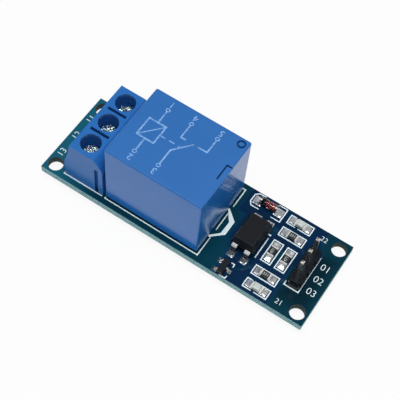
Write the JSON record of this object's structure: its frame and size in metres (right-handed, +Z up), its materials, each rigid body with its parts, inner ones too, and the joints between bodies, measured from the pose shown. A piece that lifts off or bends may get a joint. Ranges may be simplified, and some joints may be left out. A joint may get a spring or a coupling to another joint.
{
  "type": "relay module board",
  "caption": "Narrow circuit board with a screw terminal block, a sealed changeover relay, its driver parts and a pin header.",
  "frame": {"origin": "centre of the four mounting holes, on the underside of the board", "axes": "+X along the board from the screw terminals to the pin header, +Y across it, +Z up out of the side that carries the parts"},
  "size_m": [0.054, 0.018, 0.0185],
  "materials": {
    "board_mask": "blue-green solder mask over glass-fibre board, glossy",
    "solder": "bright tin solder, a little dull",
    "housing_blue": "moulded nylon, satin",
    "screw_steel": "zinc-plated steel",
    "clamp_steel": "zinc-plated pressed steel",
    "tinned_copper": "tin-plated copper",
    "relay_blue": "moulded polycarbonate, satin top and glossier sides",
    "relay_base_blue": "moulded thermoset, satin",
    "bobbin_white": "moulded nylon, satin",
    "copper_wire": "enamelled copper wire",
    "soft_iron": "nickel-plated iron",
    "spring_bronze": "rolled bronze strip",
    "contact_silver": "silver alloy rivet, polished",
    "moulding_black": "epoxy moulding, satin",
    "diode_red_glass": "clear glass over a red body",
    "resistor_ceramic": "black glaze on ceramic, tinned ends",
    "led_white": "white laminate",
    "led_lens_clear": "clear epoxy, slightly yellow",
    "header_black": "moulded nylon, satin",
    "pin_plating": "tin-plated brass, bright",
    "legend_white": "white epoxy ink, screen printed",
    "relay_print": "pale pad-printed ink"
  },
  "bodies": {
    "module": {"circuit_board": "board_mask", "solder_joints": "solder", "solder_pads": "solder", "terminal_housing": "housing_blue", "terminal_contact_1": "tinned_copper", "terminal_contact_2": "tinned_copper", "terminal_contact_3": "tinned_copper", "relay_case": "relay_blue", "relay_base": "relay_base_blue", "relay_bobbin": "bobbin_white", "relay_coil": "copper_wire", "relay_core": "soft_iron", "relay_yoke": "soft_iron", "relay_contact_closed": "spring_bronze", "relay_contact_open": "spring_bronze", "relay_common_terminal": "spring_bronze", "relay_coil_pin_1": "tinned_copper", "relay_coil_pin_2": "tinned_copper", "optocoupler_body": "moulding_black", "optocoupler_leads": "tinned_copper", "transistor_body": "moulding_black", "transistor_leads": "tinned_copper", "diode_glass": "diode_red_glass", "diode_caps": "tinned_copper", "resistor_1": "resistor_ceramic", "resistor_2": "resistor_ceramic", "resistor_3": "resistor_ceramic", "resistor_4": "resistor_ceramic", "led_base_1": "led_white", "led_base_2": "led_white", "led_lens_1": "led_lens_clear", "led_lens_2": "led_lens_clear", "header_base": "header_black", "header_pin_1": "pin_plating", "header_pin_2": "pin_plating", "header_pin_3": "pin_plating"},
    "screw_1": {"terminal_screw_1": "screw_steel"},
    "clamp_1": {"terminal_clamp_1": "clamp_steel"},
    "screw_2": {"terminal_screw_2": "screw_steel"},
    "clamp_2": {"terminal_clamp_2": "clamp_steel"},
    "screw_3": {"terminal_screw_3": "screw_steel"},
    "clamp_3": {"terminal_clamp_3": "clamp_steel"},
    "armature": {"relay_armature": "soft_iron", "relay_leaf_spring": "spring_bronze", "relay_moving_contact": "contact_silver"}
  },
  "joints": [
    {"name": "screw_1_turn", "type": "hinge", "parent": "module", "child": "screw_1", "pos_m": [-0.0186, -0.00508, 0], "axis": [0, 0, 1], "range_deg": [-1080, 0]},
    {"name": "screw_2_turn", "type": "hinge", "parent": "module", "child": "screw_2", "pos_m": [-0.0186, 0, 0], "axis": [0, 0, 1], "range_deg": [-1080, 0]},
    {"name": "screw_3_turn", "type": "hinge", "parent": "module", "child": "screw_3", "pos_m": [-0.0186, 0.00508, 0], "axis": [0, 0, 1], "range_deg": [-1080, 0]},
    {"name": "clamp_1_rise", "type": "slide", "parent": "module", "child": "clamp_1", "axis": [0, 0, 1], "range_m": [0, 0.0015]},
    {"name": "clamp_2_rise", "type": "slide", "parent": "module", "child": "clamp_2", "axis": [0, 0, 1], "range_m": [0, 0.0015]},
    {"name": "clamp_3_rise", "type": "slide", "parent": "module", "child": "clamp_3", "axis": [0, 0, 1], "range_m": [0, 0.0015]},
    {"name": "armature_rock", "type": "hinge", "parent": "module", "child": "armature", "pos_m": [0.00165, 0, 0.0122], "axis": [0, -1, 0], "range_deg": [0, 3.5], "stiffness_Nm_per_rad": 0.02, "deforming": ["relay_leaf_spring"]}
  ],
  "couplings": [
    {"joint": "screw_1_turn", "follows": "clamp_1_rise", "rad_per_m": -12566},
    {"joint": "screw_2_turn", "follows": "clamp_2_rise", "rad_per_m": -12566},
    {"joint": "screw_3_turn", "follows": "clamp_3_rise", "rad_per_m": -12566}
  ]
}
